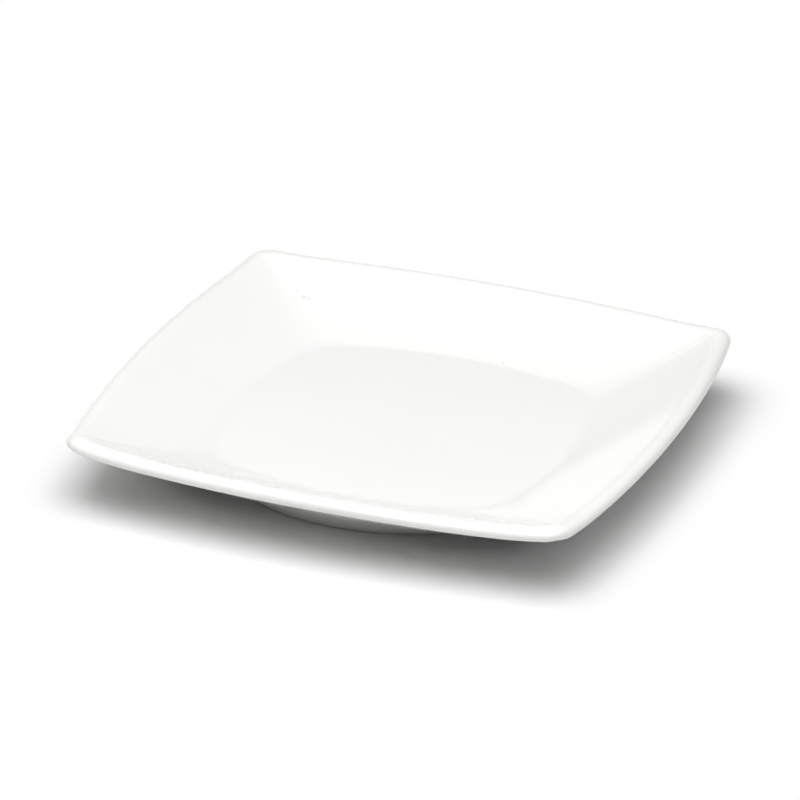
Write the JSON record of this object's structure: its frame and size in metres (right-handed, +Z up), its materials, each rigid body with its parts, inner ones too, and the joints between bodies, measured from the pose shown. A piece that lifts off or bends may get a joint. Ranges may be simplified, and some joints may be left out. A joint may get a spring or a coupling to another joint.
{
  "type": "square dinner plate",
  "caption": "Square white porcelain dinner plate with bowed sides, sloping walls, a thick rounded rim, upturned corners, a flat well and a round foot ring.",
  "frame": {"origin": "centre of the foot ring's bearing face, on the surface that the plate stands on", "axes": "+Z up, square to the bearing face; +X and +Y through the middles of two neighbouring sides"},
  "size_m": [0.26, 0.26, 0.0345],
  "materials": {
    "bare_porcelain": "fired and rubbed smooth, without glaze",
    "white_glaze": "gloss",
    "recess_glaze": "gloss"
  },
  "bodies": {
    "root": {"porcelain_body": "bare_porcelain", "face_glaze": "white_glaze", "foot_recess_glaze": "recess_glaze"}
  },
  "joints": []
}
